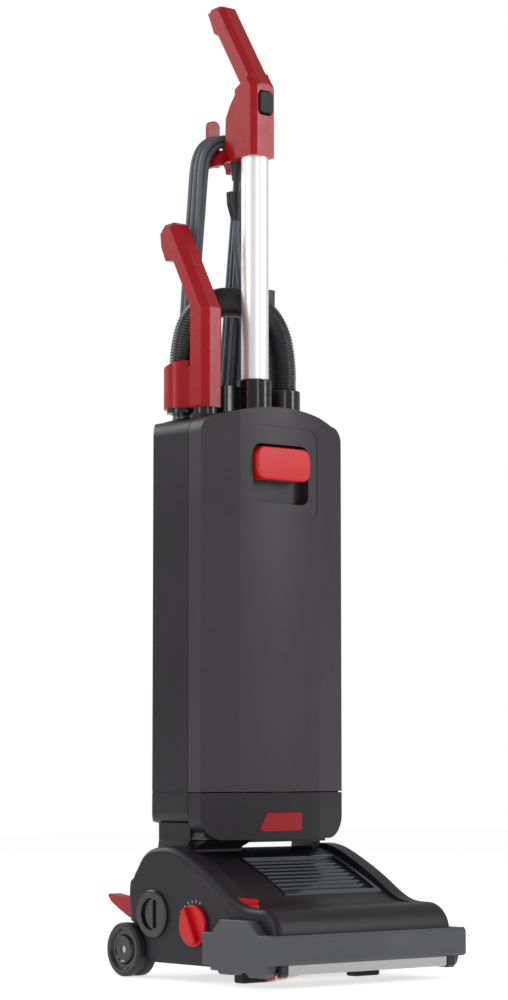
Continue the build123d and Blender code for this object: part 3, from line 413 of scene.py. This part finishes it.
# ---------------------------------------------------------------- bristles of the brush roll
ROLL_MIDDLE = at(0, -180, 44)
ROLL_START = -116         # first tuft, along X
TUFT_STEP = 4.0
TUFTS_PER_ROW = 52
HAIRS = 7                 # one in the middle of the tuft and six round it
# distance from the roll's axis, half thickness, and how far the tuft has opened
HAIR_RINGS = [(0.0188, 0.00045, 1.0), (0.030, 0.00040, 1.5), (0.0388, 0.00026, 2.1)]


def bristle_tufts():
    """Tufts of stiff bristle along two shallow helices on the roll."""
    verts, faces = [], []
    for start in (0, 180):
        for index in range(TUFTS_PER_ROW):
            x = ROLL_START + TUFT_STEP * index
            if index % 6 == 5:
                continue
            twist = math.radians(start + 12 * index * TUFT_STEP / 26)
            for k in range(HAIRS):
                ring = 2 * math.pi * k / HAIRS
                dx = 1.1 * math.cos(ring) if k else 0.0
                dt = 1.1 * math.sin(ring) if k else 0.0
                lean = 0.35 * math.sin(12.9 * index + 5.3 * k)
                base = len(verts)
                for radius, thick, flare in HAIR_RINGS:
                    across = (x + dx * flare + lean * flare) / 1000
                    offset = (dt * flare - lean * flare) / 1000
                    for corner in range(4):
                        turn = math.pi / 2 * corner
                        a = across + thick * math.cos(turn)
                        b = offset + thick * math.sin(turn)
                        y = -math.sin(twist) * radius + math.cos(twist) * b
                        z = math.cos(twist) * radius + math.sin(twist) * b
                        verts.append(Vector((a, ROLL_MIDDLE.y + y, ROLL_MIDDLE.z + z)))
                for ring_index in range(2):
                    for corner in range(4):
                        p = base + ring_index * 4 + corner
                        q = base + ring_index * 4 + (corner + 1) % 4
                        faces.append((p, q, q + 4, p + 4))
                faces.append(tuple(base + corner for corner in range(4)))
                faces.append(tuple(base + 8 + corner for corner in range(4)))
    return verts, faces


tufts = piece("bristle_tufts", *bristle_tufts(), "brush_roll", "bristle_red", smooth=False)
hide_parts("bristle_rows")


# ---------------------------------------------------------------- dust bag
def bag_shell():
    """Half-filled bag: crowned faces, gusset folds down the sides, and pulled-in ends."""
    low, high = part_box("dust_bag")
    middle = (low + high) / 2
    half = (high - low) / 2 * 0.985
    around, levels = 96, 60
    verts, faces = [], []
    for level in range(levels + 1):
        t = level / levels
        rise = abs(2 * t - 1)
        pull = (1 - rise ** 7) ** 0.5
        pull = max(pull, 0.12)
        z = low.z + (high.z - low.z) * (0.008 + 0.984 * t)
        for k in range(around):
            angle = 2 * math.pi * k / around
            c, s = math.cos(angle), math.sin(angle)
            x = math.copysign(abs(c) ** 0.42, c)
            y = math.copysign(abs(s) ** 0.55, s)
            fold = 0.10 * math.exp(-(s / 0.16) ** 2) * (0.7 + 0.3 * math.sin(9 * t))
            crease = 0.012 * math.sin(7 * angle + 11 * t) + 0.010 * math.sin(13 * angle - 23 * t)
            crease += 0.010 * math.sin(31 * t + 3 * angle)
            size = 1 - 0.03 - fold + crease
            verts.append(Vector((middle.x + half.x * x * size * (0.55 + 0.45 * pull),
                                 middle.y + half.y * y * min(size, 1) * pull, z)))
    for level in range(levels):
        for k in range(around):
            a = level * around + k
            b = level * around + (k + 1) % around
            faces.append((a, b, b + around, a + around))
    faces.append(tuple(reversed(range(around))))
    faces.append(tuple(range(levels * around, (levels + 1) * around)))
    return verts, faces


bag = piece("filled_bag", *bag_shell(), "upper", "bag_paper")
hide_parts("dust_bag")


# ---------------------------------------------------------------- pleated exhaust filter
def pleated_block():
    """Zigzag sheet of filter medium in a thin frame."""
    low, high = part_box("exhaust_filter")
    verts, faces = [], []

    def box(x0, x1, y0, y1, z0, z1):
        base = len(verts)
        for x in (x0, x1):
            for y in (y0, y1):
                for z in (z0, z1):
                    verts.append(Vector((x, y, z)))
        for quad in ((0, 1, 3, 2), (4, 6, 7, 5), (0, 4, 5, 1), (2, 3, 7, 6), (0, 2, 6, 4), (1, 5, 7, 3)):
            faces.append(tuple(base + q for q in quad))

    rim = 0.003
    box(low.x, low.x + rim, low.y, high.y, low.z, high.z)
    box(high.x - rim, high.x, low.y, high.y, low.z, high.z)
    box(low.x + rim, high.x - rim, low.y, high.y, low.z, low.z + rim)
    box(low.x + rim, high.x - rim, low.y, high.y, high.z - rim, high.z)
    pleats = 46
    thick = 0.0007
    start = len(verts)
    for index in range(pleats + 1):
        x = low.x + rim + (high.x - low.x - 2 * rim) * index / pleats
        deep = high.y - 0.001 if index % 2 else low.y + 0.0015
        for z in (low.z + rim, high.z - rim):
            verts.append(Vector((x, deep, z)))
            verts.append(Vector((x, deep + (thick if index % 2 == 0 else -thick), z)))
    for index in range(pleats):
        a = start + 4 * index
        b = a + 4
        faces.append((a, b, b + 2, a + 2))
        faces.append((a + 1, a + 3, b + 3, b + 1))
        faces.append((a, a + 1, b + 1, b))
        faces.append((a + 2, b + 2, b + 3, a + 3))
    end = start + 4 * pleats
    faces.append((start, start + 2, start + 3, start + 1))
    faces.append((end, end + 1, end + 3, end + 2))
    return verts, faces


pleats = piece("filter_pleats", *pleated_block(), "upper", "filter_media", smooth=False)
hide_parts("exhaust_filter")


# ---------------------------------------------------------------- pedal spring
def coil_line(x, y, z0, z1, radius, turns):
    """Points of an upright coil, in working millimetres."""
    steps = turns * 20
    points = []
    for index in range(steps + 1):
        share = index / steps
        angle = 2 * math.pi * turns * share
        rise = z0 + (z1 - z0) * share
        points.append(at(x + radius * math.cos(angle), y + radius * math.sin(angle), rise))
    return points


WIRE_R = 0.0006
spring_line = coil_line(x=-128, y=45, z0=93.2, z1=119.2, radius=3.4, turns=6)
spring = piece("pedal_coil", *tube(spring_line, [WIRE_R] * len(spring_line), 10), "head", "steel")
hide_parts("pedal_spring")


# ---------------------------------------------------------------- height marks beside the knob
KNOB_Y = -73.5
KNOB_Z = 67
TICK_IN = 27.5            # distance of a tick's near end from the knob's middle
TICK_HALF = 0.45          # half width of a tick
TICK_FACES_X = (-140.35, -139.9)


def height_marks():
    """Short raised ticks in a fan over the knob."""
    verts, faces = [], []
    for index, angle in enumerate(range(-20, 71, 15)):
        turn = math.radians(angle)
        outer = TICK_IN + 3.0 + 0.7 * (index % 2)
        corners = ((TICK_IN, -TICK_HALF), (outer, -TICK_HALF), (outer, TICK_HALF), (TICK_IN, TICK_HALF))
        base = len(verts)
        for x in TICK_FACES_X:
            for radius, side in corners:
                y = KNOB_Y + radius * math.sin(turn) + side * math.cos(turn)
                z = KNOB_Z + radius * math.cos(turn) - side * math.sin(turn)
                verts.append(at(x, y, z))
        faces.append(tuple(base + k for k in (0, 3, 2, 1)))
        faces.append(tuple(base + k for k in (4, 5, 6, 7)))
        for k in range(4):
            faces.append((base + k, base + (k + 1) % 4, base + 4 + (k + 1) % 4, base + 4 + k))
    return verts, faces


piece("height_ticks", *height_marks(), "head", "nylon", smooth=False)

# ---------------------------------------------------------------- floor
FLOOR_HALF = 6
FLOOR_Z = -0.0005
floor_corners = [(x * FLOOR_HALF, y * FLOOR_HALF, FLOOR_Z) for x, y in ((-1, -1), (1, -1), (1, 1), (-1, 1))]
floor_mesh = bpy.data.meshes.new("floor")
floor_mesh.from_pydata(floor_corners, [], [(0, 1, 2, 3)])
floor = bpy.data.objects.new("floor", floor_mesh)
bpy.context.scene.collection.objects.link(floor)
paper = surface("floor_pale", (0.62, 0.62, 0.62), 0.85, grain=300, depth=0.00002, spread=0.004, shine=0.1)
paper_shader = paper.node_tree.nodes["Principled BSDF"]
paper_shader.inputs["Emission Color"].default_value = (1, 1, 1, 1)
paper_shader.inputs["Emission Strength"].default_value = 0.68
floor.data.materials.append(paper)

bpy.context.view_layer.update()
